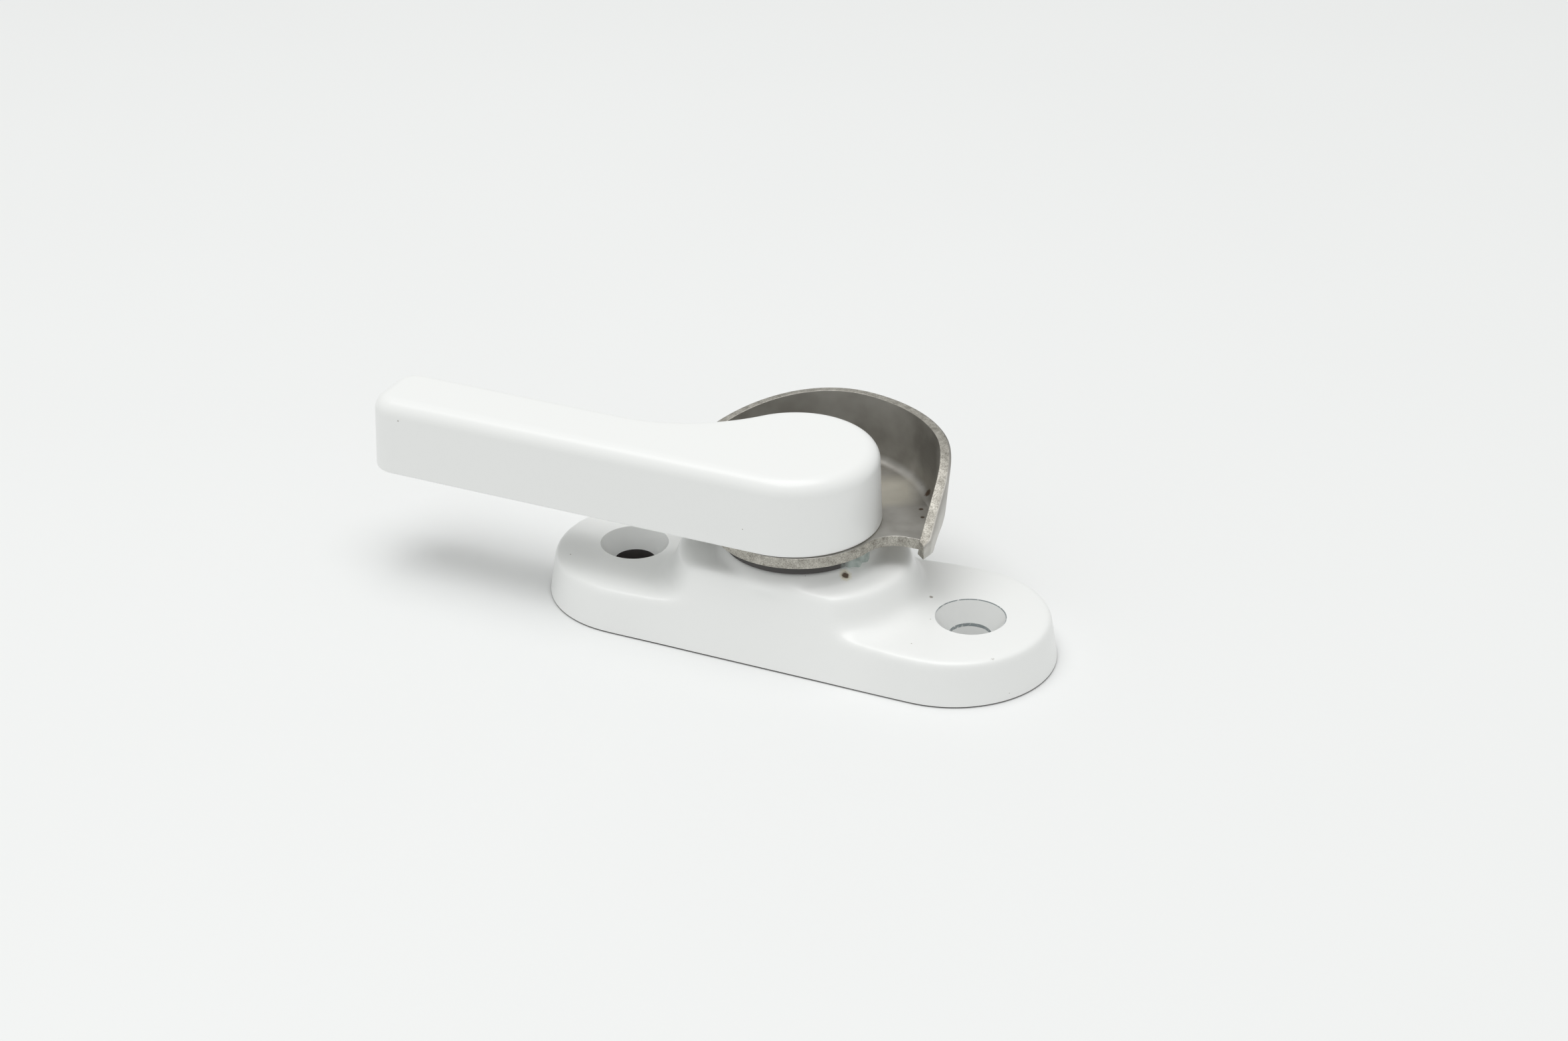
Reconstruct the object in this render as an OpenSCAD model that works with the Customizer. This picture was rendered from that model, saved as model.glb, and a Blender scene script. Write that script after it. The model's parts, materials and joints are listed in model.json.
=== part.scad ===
// Crescent sash lock: a cast base, a lever on a square spindle and a stamped hook.
// The origin is on the mounting face, on the spindle's axis, midway between the screw holes.
// +X runs along the base and the lever points to -X. Sizes are millimetres.

/* [Mounting] */
// Distance between the centres of the two screw holes
screw_spacing = 46; // [43:0.5:50]
// Diameter of a screw's through hole
screw_hole_d = 5.2; // [4.2:0.1:5.8]
// Diameter of a countersink at the flange's top
countersink_d = 8.7; // [7.6:0.1:9.6]
// Included angle of a countersink
countersink_angle = 70; // [60:5:100]

/* [Base] */
// Length of the mounting face
base_length = 67.2; // [65:0.2:76]
// Width of the mounting face
base_width = 26.3; // [25.6:0.1:29]
// Height of the flange's flat top
flange_height = 5.7; // [4.5:0.1:6.4]
// Lean of the base's sides, from upright
draft_angle = 18.4; // [12:0.2:20]
// Rounding of the flange's top edge
flange_round = 1.3; // [0.6:0.1:1.8]
// Length of the raised middle at its foot
hump_length = 32.2; // [31:0.2:33]
// Offset of the raised middle's centre from the spindle, towards the lever's arm
hump_off_x = -0.5; // [-0.6:0.1:0]
// Radius in plan of the raised middle's ends, at the foot
hump_end_r = 13.2; // [12.8:0.2:14.4]
// Rounding of the raised middle's top edge
hump_round = 1.6; // [0.8:0.1:2]
// Fillet where the raised middle's ends meet the flange
hump_foot_r = 1.8; // [0.8:0.1:2]
// Diameter of the round boss that carries the friction washer
boss_d = 14; // [13:0.2:18.4]
// Height of that boss above the raised middle
boss_height = 1.5; // [1:0.1:2]
// How far the boss spreads at its foot
boss_flare = 1.8; // [0.4:0.1:2.4]
// Thickness of the roof over the inner space
roof_t = 2.4; // [2:0.1:3]
// Thickness of the side walls round the inner space, at the roof
base_wall = 2.1; // [1.8:0.05:2.2]

/* [Lever] */
// Diameter of the lever's hub
hub_d = 21.5; // [20:0.1:23]
// Offset of the hub's centre from the spindle, along the arm
hub_off_x = -0.5; // [-1:0.1:0]
// Height of the lever
lever_height = 9.9; // [8.5:0.1:11.5]
// Length of the lever, hub included
lever_length = 65.8; // [58:0.2:76]
// Width of the lever's arm
arm_w = 10.7; // [9:0.1:12]
// Radius of the blend between the arm's back and the hub
arm_blend_r = 20; // [8:0.5:24]
// Radius of the arm's two upright end corners
tip_r = 3.6; // [2.6:0.1:4.4]
// Rounding of the lever's top edge
lever_round = 2; // [1:0.1:2.4]
// Lean of the lever's sides, from upright
lever_draft = 2; // [0:0.5:3]
// Wall left round the hollow under the arm
arm_wall = 2; // [1.6:0.1:2.6]
// Thickness of the arm's top over that hollow
arm_skin = 3; // [2.6:0.1:4]
// Radius of that hollow's upright corners
hollow_r = 2; // [1:0.1:2.2]

/* [Hook] */
// Thickness of the hook's sheet
sheet_t = 1.4; // [1.2:0.1:1.8]
// Diameter of the plate's round part
plate_d = 21.3; // [19.6:0.1:22]
// Radius of the upright wall's inner face at the plate, about its own centre
wall_r = 17.15; // [16.5:0.05:18]
// Wall centre's offset from the spindle along the base
wall_off_x = -1.2; // [-1.6:0.1:0]
// Wall centre's offset from the spindle across the base
wall_off_y = 1.5; // [1:0.1:2.4]
// Outward lean of the upright wall, from upright
wall_lean = 5; // [2:0.5:10]
// Height of the upright wall above the plate, where it is tallest
wall_height = 8.3; // [6:0.1:9.4]
// Height of the upright wall above the plate, at its two ends
wall_end_height = 1.2; // [1:0.1:2]
// Angle about the wall's centre of the leading end
wall_start = -10; // [-13:0.5:-7]
// Angle about the wall's centre of the trailing end
wall_end = 174; // [165:1:180]
// Turn over which the leading end rises to its full height
lead_ramp = 45; // [35:1:60]
// How far the leading end is eased outwards
lead_ease = 1; // [0:0.1:1.4]
// Turn over which the leading end is eased outwards
lead_ease_turn = 20; // [12:1:30]
// Turn over which the trailing end rises to its full height
trail_ramp = 90; // [60:1:100]
// Inner radius of the fold between the plate and the wall
fold_r = 0.8; // [0.4:0.1:0.8]
// Turn by which the plate's two edges stop short of the wall's ends
plate_setback = 7.5; // [5:0.5:9]
// Fillet between the plate's round part and its two edges
plate_fillet = 4; // [2:0.5:5]

/* [Pivot] */
// Diameter of the spindle's round journal
journal_d = 8; // [7:0.1:8.6]
// Width across the flats of the spindle's square ends
spindle_square = 5.6; // [4.8:0.1:5.6]
// Depth of the spindle's square in the lever
drive_depth = 6.4; // [5:0.1:7]
// Outside diameter of the pivot bush
bush_d = 10.6; // [10:0.1:11.4]
// Outside diameter of the friction washer
friction_d = 18.8; // [17:0.1:20]
// Thickness of the friction washer
friction_t = 1.4; // [1:0.1:1.8]
// Outside diameter of the thrust washer and the wave washer
thrust_d = 12; // [11.4:0.1:12.2]
// Thickness of the thrust washer
thrust_t = 0.5; // [0.4:0.1:0.8]
// Height of the wave washer as fitted
wave_height = 0.6; // [0.5:0.05:0.9]
// Thickness of the wave washer's strip
wave_strip = 0.3; // [0.2:0.05:0.4]

/* [Detent and stop] */
// Diameter of the detent cam
cam_d = 11.2; // [10.4:0.1:11.4]
// Width across the detent cam's two flats
cam_flats = 9.2; // [8.6:0.1:9.4]
// Thickness of the detent cam
cam_t = 1.8; // [1.4:0.1:2.2]
// Thickness of the detent spring's leaf
leaf_t = 0.6; // [0.4:0.05:0.6]
// Diameter of the stop plate, without its lug
stop_d = 12.4; // [11.6:0.1:12.6]
// Thickness of the stop plate
stop_t = 1.2; // [1:0.1:1.6]
// Width of the stop plate's lug and thickness of each stop
lug_w = 4; // [3:0.1:4.6]
// Outside diameter of the lock washer
lock_d = 7.4; // [6.6:0.1:7.8]
// Thickness of the lock washer
lock_t = 0.8; // [0.6:0.1:1]
// Width of the lock washer's split
lock_split = 0.8; // [0.4:0.1:1.2]
// Thread diameter of the retaining screw
screw_d = 4; // [3:0.5:4]
// Diameter of the retaining screw's head
head_d = 8; // [7:0.1:8.6]
// Height of the retaining screw's head
head_h = 2; // [1.8:0.1:2.4]
// Length of the retaining screw below its head
screw_length = 8; // [6:0.5:8]
// Chamfer round the retaining screw's head
head_chamfer = 0.7; // [0.3:0.1:0.9]
// Width of the arms of the cross recess in that head
recess_w = 1.3; // [1:0.1:1.6]
// Length of those arms, end to end
recess_l = 4; // [3:0.1:5]
// Depth of the cross recess
recess_depth = 1; // [0.6:0.1:1.2]
// Height of the retaining screw's head above the mounting face
head_recess = 0.8; // [0.6:0.1:1.4]

/* [Clearances] */
// Radial clearance of the journal in its bush
running_fit = 0.05; // [0.02:0.01:0.1]
// Clearance of a piece in the seat that holds it
seat_fit = 0.02; // [0.01:0.01:0.05]
// Room between pieces that pass each other
passing_gap = 0.4; // [0.3:0.05:0.5]
// Room left at the stops, so the lug just clears them
stop_gap = 0.1; // [0.05:0.01:0.2]

/* [Hidden] */

$fn = 96;
// Steps of a quarter-turn edge rounding, of a plan arc, and of the hook's wall
round_steps = 5;
arc_steps = 18;
wall_steps = 46;
fold_steps = 4;
wave_steps = 48;
wave_count = 3;
// How far a cut runs past the face it opens, and how far a joined form is sunk into its neighbour
over = 1;
sink = 0.5;
// Step that keeps the raised middle's sides just off the flange's own sides
face_step = 0.02;

// Heights of the stack, from the mounting face up
head_top = head_recess + head_h;
lock_top = head_top + lock_t;
stop_top = lock_top + stop_t;
cam_top = stop_top + cam_t;
wave_top = cam_top + wave_height;
roof_z = wave_top + thrust_t;
hump_height = roof_z + roof_t;
boss_top = hump_height + boss_height;
plate_z = boss_top + friction_t;
lever_z = plate_z + sheet_t;
lever_top = lever_z + lever_height;

// Plan of the base
draft = tan(draft_angle);
base_r = base_width / 2;
base_straight = base_length / 2 - base_r;
hump_end_x = hump_length / 2 - hump_end_r;
roof_inset = base_wall + (roof_z - flange_height) * draft;
cavity_end_r = hump_end_r - roof_inset;
cavity_half_w = base_r - roof_z * draft - base_wall;

// Plan of the lever
hub_r = hub_d / 2;
tip_x = hub_off_x + hub_r - lever_length;
arm_front = -hub_r;
arm_back = arm_front + arm_w;
blend_y = arm_back + arm_blend_r;
blend_x = hub_off_x - sqrt(pow(hub_r + arm_blend_r, 2) - pow(blend_y, 2));

// Detent and stop
bore_r = journal_d / 2 + running_fit;
square_hole = spindle_square + 2 * seat_fit;
leaf_y = cam_flats / 2;
leaf_h = cam_t - 2 * seat_fit;
post_x = cam_d / 2 + 2 * passing_gap;
leaf_end_x = -cam_d / 2;
stop_face_x = lug_w / 2 + stop_gap;
stop_inner_y = cam_d / 2 + leaf_t + passing_gap;
lug_r = cavity_half_w - passing_gap;

// Section of the hook's wall
lean = tan(wall_lean);
fold_z = lever_z + fold_r;
fold_x = wall_r + fold_r * lean - fold_r / cos(wall_lean);
// How far the plate runs into the fold, and how the wall's foot is let into the plate
plate_lap = 0.25;
foot_length = 0.6;
foot_inset = 0.05;

// Points of an arc about a centre, both ends included
function arc(c, r, a0, a1, steps) =
    [for (i = [0 : steps]) let (a = a0 + (a1 - a0) * i / steps) c + r * [cos(a), sin(a)]];

// A list without its first item
function after_first(list) = [for (i = [1 : len(list) - 1]) list[i]];

// Profile of a leaning side with a rounded top edge, as pairs of inset and height
function rounded_side(top, r, lean_angle) =
    let (centre = (top - r + r * sin(lean_angle)) * tan(lean_angle) + r * cos(lean_angle))
    [for (i = [0 : round_steps])
        let (a = lean_angle + (90 - lean_angle) * i / round_steps)
        [centre - r * cos(a), top - r + r * sin(a)]];

// Closed outline with two round ends
function stadium(straight, r) =
    concat(arc([straight, 0], r, -90, 90, arc_steps), arc([-straight, 0], r, 90, 270, arc_steps));

// Closed outline with two straight sides and two bowed ends about centres on the long axis
function bowed(end_x, end_r, half_w) =
    let (a = asin(min(1, half_w / end_r)))
    concat(arc([end_x, 0], end_r, -a, a, arc_steps),
           arc([-end_x, 0], end_r, 180 - a, 180 + a, arc_steps));

// Outline of the lever, drawn in by an inset
function lever_outline(inset) =
    let (meet = atan2(blend_y, blend_x - hub_off_x))
    concat(arc([hub_off_x, 0], hub_r - inset, -90, meet, 2 * arc_steps),
           after_first(arc([blend_x, blend_y], arm_blend_r + inset, meet + 180, 270, arc_steps)),
           arc([tip_x + tip_r, arm_back - tip_r], tip_r - inset, 90, 180, arc_steps / 2),
           arc([tip_x + tip_r, arm_front + tip_r], tip_r - inset, 180, 270, arc_steps / 2));

// Solid through a list of outlines that all have the same number of points. Its two ends are closed
// by fans about points from which the whole outline is seen.
module skin(rings, floor_eye, top_eye) {
    n = len(rings[0]);
    last = len(rings) - 1;
    points = [for (ring = rings) each ring];
    sides = [for (k = [0 : last - 1], i = [0 : n - 1])
        let (j = (i + 1) % n)
        each [[k * n + i, (k + 1) * n + i, k * n + j], [k * n + j, (k + 1) * n + i, (k + 1) * n + j]]];
    floor_fan = [for (i = [0 : n - 1]) [i, (i + 1) % n, len(points)]];
    top_fan = [for (i = [0 : n - 1]) [last * n + (i + 1) % n, last * n + i, len(points) + 1]];
    polyhedron(concat(points, [floor_eye, top_eye]), concat(sides, floor_fan, top_fan));
}

// Outline lifted to a height
function lifted(outline, z) = [for (p = outline) [p.x, p.y, z]];

// Ring of a washer, from one height to another
module washer_ring(outer_d, inner_d, bottom, thickness) {
    translate([0, 0, bottom])
        difference() {
            cylinder(h = thickness, d = outer_d);
            translate([0, 0, -over]) cylinder(h = thickness + 2 * over, d = inner_d);
        }
}

// Upright square bar on the axis, from one height to another
module square_bar(width, bottom, top) {
    translate([-width / 2, -width / 2, bottom]) cube([width, width, top - bottom]);
}

// Flange of the base, with leaning sides and a rounded top edge
module flange() {
    side = concat([[0, 0]], rounded_side(flange_height, flange_round, draft_angle));
    skin([for (p = side) lifted(stadium(base_straight, base_r - p[0]), p[1])],
         [0, 0, 0], [0, 0, flange_height]);
}

// Raised middle, whose long sides carry on those of the flange
module hump() {
    foot = hump_foot_r * cos(draft_angle) - hump_foot_r * (1 - sin(draft_angle)) * draft;
    fillet = [for (i = [0 : round_steps])
        let (a = 90 + (draft_angle - 90) * i / round_steps)
        [hump_foot_r * cos(a) - foot, flange_height + hump_foot_r * (1 - sin(a))]];
    edge = [for (p = rounded_side(hump_height, hump_round, draft_angle))
        [p[0] - flange_height * draft, p[1]]];
    ends = concat([[-foot, flange_height - flange_round - sink]], fillet, edge);
    skin([for (p = ends)
        let (side = p[1] < edge[0][1] ? p[1] * draft : p[0] + flange_height * draft)
        lifted(bowed(hump_end_x, hump_end_r - p[0], base_r - side - face_step), p[1])],
         [0, 0, ends[0][1]], [0, 0, hump_height]);
}

// Space under the roof, where the detent and the stop work
module cavity() {
    translate([0, 0, -over])
        linear_extrude(roof_z + over)
            polygon(bowed(hump_end_x, cavity_end_r, cavity_half_w));
}

// Half-round post inside the detent spring's bend
module spring_post() {
    intersection() {
        translate([post_x, 0, stop_top + passing_gap])
            cylinder(h = roof_z + sink - stop_top - passing_gap, r = leaf_y - seat_fit);
        translate([post_x, -leaf_y, 0]) cube([2 * leaf_y, 2 * leaf_y, roof_z + sink]);
    }
}

// The two stops that the stop plate's lug meets
module stops() {
    for (side = [-1, 1])
        translate([stop_face_x, side > 0 ? stop_inner_y : -cavity_half_w - sink, head_top])
            cube([lug_w, cavity_half_w + sink - stop_inner_y, roof_z + sink - head_top]);
}

// Screw hole with its countersink
module screw_hole() {
    sink_depth = (countersink_d - screw_hole_d) / 2 / tan(countersink_angle / 2);
    translate([0, 0, -over]) cylinder(h = flange_height + 2 * over, d = screw_hole_d);
    translate([0, 0, flange_height - sink_depth])
        cylinder(h = sink_depth, d1 = screw_hole_d, d2 = countersink_d);
    translate([0, 0, flange_height]) cylinder(h = over, d = countersink_d);
}

module base_housing() {
    color("whitesmoke") union() {
        difference() {
            union() {
                flange();
                translate([hump_off_x, 0, 0]) hump();
                translate([0, 0, roof_z + sink]) cylinder(h = boss_top - roof_z - sink, d = boss_d);
                translate([0, 0, hump_height])
                    cylinder(h = boss_height, d1 = boss_d + 2 * boss_flare, d2 = boss_d);
            }
            translate([hump_off_x, 0, 0]) cavity();
            translate([0, 0, roof_z - over])
                cylinder(h = boss_top - roof_z + 2 * over, d = bush_d + 2 * seat_fit);
            for (side = [-1, 1]) translate([side * screw_spacing / 2, 0, 0]) screw_hole();
        }
        spring_post();
        stops();
    }
}

module pivot_bush() {
    color("gold") washer_ring(bush_d, 2 * bore_r, roof_z, boss_top - roof_z);
}

module friction_washer() {
    color("azure") washer_ring(friction_d, 2 * bore_r, boss_top, friction_t);
}

module thrust_washer() {
    color("silver") washer_ring(thrust_d, 2 * bore_r, roof_z - thrust_t, thrust_t);
}

// Ring of sprung strip that rises and falls between the cam and the thrust washer
module wave_washer() {
    swing = (wave_height - wave_strip) / 2;
    middle = cam_top + wave_height / 2;
    rings = [for (i = [0 : wave_steps - 1])
        let (a = 360 * i / wave_steps, z = middle + swing * cos(wave_count * a))
        [for (q = [[bore_r, -1], [thrust_d / 2, -1], [thrust_d / 2, 1], [bore_r, 1]])
            [q[0] * cos(a), q[0] * sin(a), z + q[1] * wave_strip / 2]]];
    faces = [for (i = [0 : wave_steps - 1], k = [0 : 3])
        let (n = 4, a = i * n + k, b = i * n + (k + 1) % n,
             next = (i + 1) % wave_steps, c = next * n + k, d = next * n + (k + 1) % n)
        each [[a, c, b], [b, c, d]]];
    color("lightslategray") polyhedron([for (ring = rings) each ring], faces);
}

// U-shaped leaf whose two arms lie on the cam's flats
module detent_spring() {
    color("dimgray") translate([0, 0, stop_top + seat_fit]) {
        difference() {
            translate([post_x, 0, 0]) cylinder(h = leaf_h, r = leaf_y + leaf_t);
            translate([post_x, 0, -over]) cylinder(h = leaf_h + 2 * over, r = leaf_y);
            translate([leaf_end_x, -2 * leaf_y, -over])
                cube([post_x - leaf_end_x, 4 * leaf_y, leaf_h + 2 * over]);
        }
        for (y = [leaf_y, -leaf_y - leaf_t])
            translate([leaf_end_x, y, 0]) cube([post_x - leaf_end_x, leaf_t, leaf_h]);
    }
}

// Hollow under the arm, open downwards
module arm_hollow() {
    corner = arm_wall + hollow_r;
    right = blend_x - corner;
    left = tip_x + corner;
    front = arm_front + corner;
    back = arm_back - corner;
    translate([0, 0, lever_z - over])
        linear_extrude(lever_height - arm_skin + over)
            polygon(concat(arc([right, front], hollow_r, -90, 0, fold_steps),
                           arc([right, back], hollow_r, 0, 90, fold_steps),
                           arc([left, back], hollow_r, 90, 180, fold_steps),
                           arc([left, front], hollow_r, 180, 270, fold_steps)));
}

module lever_handle() {
    side = concat([[0, 0]], rounded_side(lever_height, lever_round, lever_draft));
    arm_middle = (arm_front + arm_back) / 2;
    color("white") difference() {
        skin([for (p = side) lifted(lever_outline(p[0]), lever_z + p[1])],
             [hub_off_x, arm_middle, lever_z], [hub_off_x, arm_middle, lever_top]);
        square_bar(square_hole, lever_z - over, lever_z + drive_depth);
        arm_hollow();
    }
}

// Height of the hook's rim above its plate, at an angle about the wall's centre
function rim_height(a) =
    let (lead = sin(90 * min(1, (a - wall_start) / lead_ramp)),
         trail = sin(90 * min(1, (wall_end - a) / trail_ramp)))
    wall_end_height + (wall_height - wall_end_height) * lead * trail;

// How far the wall stands outwards at an angle
function wall_ease(a) = lead_ease * pow(max(0, 1 - (a - wall_start) / lead_ease_turn), 2);

// Section of the hook's wall at an angle, as pairs of radius and height
function wall_section(a) =
    let (h = rim_height(a),
         ease = wall_ease(a),
         fold = [fold_x + ease, fold_z],
         inner_top = [wall_r + ease + h * lean, lever_z + h],
         outer_top = inner_top + sheet_t * [cos(wall_lean), -sin(wall_lean)])
    concat([[fold_x - foot_length, plate_z + foot_inset]],
           arc(fold, fold_r + sheet_t, -90, -wall_lean, fold_steps),
           [outer_top, inner_top],
           arc(fold, fold_r, -wall_lean, -90, fold_steps),
           [[fold_x - foot_length, lever_z - foot_inset]]);

// Point in the middle of the sheet, half way round the fold at an angle, as radius and height
function mid_fold(a) =
    let (bend = -(90 + wall_lean) / 2)
    [fold_x + wall_ease(a), fold_z] + (fold_r + sheet_t / 2) * [cos(bend), sin(bend)];

// Place of a radius and height at an angle about the wall's centre
function on_wall(p, a) = [wall_off_x + p[0] * cos(a), wall_off_y + p[0] * sin(a), p[1]];

// Upright wall, a sheet folded up along a round that is off the spindle's centre
module hook_wall() {
    rings = [for (i = [0 : wall_steps])
        let (a = wall_end + (wall_start - wall_end) * i / wall_steps)
        [for (p = wall_section(a)) on_wall(p, a)]];
    skin(rings, on_wall(mid_fold(wall_end), wall_end), on_wall(mid_fold(wall_start), wall_start));
}

// Flat plate of the hook: a round part and the sector that carries the wall
module hook_plate() {
    sector = arc([wall_off_x, wall_off_y], fold_x + plate_lap,
                 wall_start + plate_setback, wall_end - plate_setback, wall_steps);
    translate([0, 0, plate_z])
        linear_extrude(sheet_t)
            offset(r = -plate_fillet)
                offset(delta = plate_fillet)
                    union() {
                        circle(d = plate_d);
                        polygon(concat([[0, 0]], sector));
                    }
}

module crescent_hook() {
    color("darkgray") difference() {
        union() {
            hook_plate();
            hook_wall();
        }
        square_bar(square_hole, plate_z - over, lever_z + over);
    }
}

module pivot_spindle() {
    color("slategray") difference() {
        union() {
            square_bar(spindle_square, lock_top, cam_top);
            translate([0, 0, cam_top]) cylinder(h = plate_z - cam_top, d = journal_d);
            square_bar(spindle_square, plate_z, lever_z + drive_depth);
        }
        translate([0, 0, lock_top - over])
            cylinder(h = screw_length - lock_t + over + passing_gap, d = screw_d + 2 * seat_fit);
    }
}

module detent_cam() {
    color("darkslategray") difference() {
        intersection() {
            translate([0, 0, stop_top]) cylinder(h = cam_t, d = cam_d);
            translate([-cam_d, -cam_flats / 2, stop_top]) cube([2 * cam_d, cam_flats, cam_t]);
        }
        square_bar(square_hole, stop_top - over, cam_top + over);
    }
}

module stop_plate() {
    color("gray") difference() {
        union() {
            translate([0, 0, lock_top]) cylinder(h = stop_t, d = stop_d);
            intersection() {
                translate([0, 0, lock_top]) cylinder(h = stop_t, r = lug_r);
                translate([-lug_w / 2, 0, lock_top]) cube([lug_w, lug_r, stop_t]);
            }
        }
        square_bar(square_hole, lock_top - over, stop_top + over);
    }
}

module lock_washer() {
    color("lightsteelblue") difference() {
        washer_ring(lock_d, screw_d + 2 * seat_fit, head_top, lock_t);
        translate([0, -lock_split / 2, head_top - over]) cube([lock_d, lock_split, lock_t + 2 * over]);
    }
}

module retaining_screw() {
    head_r = head_d / 2;
    shank_r = screw_d / 2;
    shank_top = head_top + screw_length;
    color("lightgray") difference() {
        rotate_extrude()
            polygon([[0, head_recess], [head_r - head_chamfer, head_recess],
                     [head_r, head_recess + head_chamfer], [head_r, head_top],
                     [shank_r, head_top], [shank_r, shank_top], [0, shank_top]]);
        for (turn = [0, 90])
            rotate([0, 0, turn])
                translate([-recess_l / 2, -recess_w / 2, head_recess - over])
                    cube([recess_l, recess_w, recess_depth + over]);
    }
}

base_housing();
pivot_bush();
friction_washer();
thrust_washer();
wave_washer();
detent_spring();
lever_handle();
crescent_hook();
pivot_spindle();
detent_cam();
stop_plate();
lock_washer();
retaining_screw();
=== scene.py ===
"""Looks of a crescent sash lock: painted castings, stamped sheet and a plastic washer round its frame."""

import json
import math
import random

import bpy
from bpy.props import FloatProperty, FloatVectorProperty, IntProperty, PointerProperty
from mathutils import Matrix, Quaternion, Vector


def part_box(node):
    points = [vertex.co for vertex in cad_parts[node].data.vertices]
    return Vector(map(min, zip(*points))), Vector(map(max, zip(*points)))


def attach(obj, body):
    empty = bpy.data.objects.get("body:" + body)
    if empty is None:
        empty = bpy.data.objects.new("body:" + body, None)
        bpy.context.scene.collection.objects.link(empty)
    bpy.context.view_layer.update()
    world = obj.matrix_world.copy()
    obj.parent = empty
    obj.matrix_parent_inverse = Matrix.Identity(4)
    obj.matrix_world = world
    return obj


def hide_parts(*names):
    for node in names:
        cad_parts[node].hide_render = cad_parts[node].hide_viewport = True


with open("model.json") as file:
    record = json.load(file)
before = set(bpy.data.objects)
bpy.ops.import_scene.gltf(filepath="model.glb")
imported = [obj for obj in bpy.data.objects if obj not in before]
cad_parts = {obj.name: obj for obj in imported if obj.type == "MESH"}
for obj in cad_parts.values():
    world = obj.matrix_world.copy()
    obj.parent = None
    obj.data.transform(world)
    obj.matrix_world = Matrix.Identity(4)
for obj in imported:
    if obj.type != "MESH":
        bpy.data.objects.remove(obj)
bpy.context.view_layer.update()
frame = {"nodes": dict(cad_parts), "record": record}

bl_info = {
    "name": "Crescent Sash Lock",
    "version": (1, 0, 0),
    "blender": (4, 5, 0),
    "location": "View3D > Sidebar > Sash Lock",
    "description": "Dresses the frame of a crescent sash lock with its finished pieces",
    "category": "Add Mesh",
}

MM = 0.001
QUARTER = math.pi / 2
BASE_LOW, BASE_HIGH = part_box("base_housing")
WASHER_LOW, WASHER_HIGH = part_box("friction_washer")
LEVER_LOW, LEVER_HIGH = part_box("lever_handle")
HOOK_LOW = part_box("crescent_hook")[0]
BUSH_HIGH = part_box("pivot_bush")[1]
SPINDLE_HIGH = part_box("pivot_spindle")[1]
SCREWS = next(m for m in frame["record"]["mounts"] if m["name"] == "screw_holes")["dims"]

# Share of painted shade in the right screw hole's bore, beside the left one's full cover
RIGHT_BORE_SHADE = 0.12
# Lengths shorter than this count as none, and corners closer than the next are merged
TINY = 1e-7
MERGE = 1e-6
# Corners this near to the leading end's angle, in radians, are on that end
END_TURN = 0.004
# A face whose normal lies past this height points down, and past this share outwards points out
DOWN = -0.9
OUTWARDS = 0.5
# Edges sharper than this, in degrees, stay crisp on a casting or moulding, and on the sheet
CRISP = 40
SHEET_CRISP = 35
# Smoothing passes that melt the base into one casting
MELT_PASSES = 48
# Width of the rings inside the lever's rounded edges, which keep the shading of its flat faces flat
FLAT_RING = 1.0 * MM
FOOT_RING = 0.5 * MM
# Seed of the washer's tears, and the shortest tear as a share of the longest
TEAR_SEED = 7
SHORTEST_TEAR = 0.35
# Steps along curves: a full turn, the washer's rim, the hook's wall, the base's ends and sides, the ends of
# its raised middle, wide rounds, corners, rounded edges, the hook's fold, fillets and the lever's foot
TURN_STEPS = 96
RIM_STEPS = 240
WALL_STEPS = 184
END_STEPS = 64
SIDE_STEPS = 40
HUMP_STEPS = 48
WIDE_STEPS = 32
CORNER_STEPS = 16
EDGE_STEPS = 12
FOLD_STEPS = 10
FILLET_STEPS = 8
FOOT_STEPS = 4


def length(name, description, millimetres):
    """A size that the user may change, kept in metres."""
    return FloatProperty(name=name, description=description, default=millimetres * MM, unit="LENGTH")


def slope(name, description, degrees):
    """An angle that the user may change, kept in radians."""
    return FloatProperty(name=name, description=description, default=math.radians(degrees), subtype="ANGLE")


def colour(code):
    """Linear colour of an sRGB hex code."""
    parts = [int(code[i:i + 2], 16) / 255 for i in (1, 3, 5)]
    linear = [p / 12.92 if p <= 0.04045 else ((p + 0.055) / 1.055) ** 2.4 for p in parts]
    return (*linear, 1.0)


def tint(name, description, code):
    """A colour that the user may change."""
    return FloatVectorProperty(name=name, description=description, default=colour(code), size=4,
                               subtype="COLOR", min=0, max=1)


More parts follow.
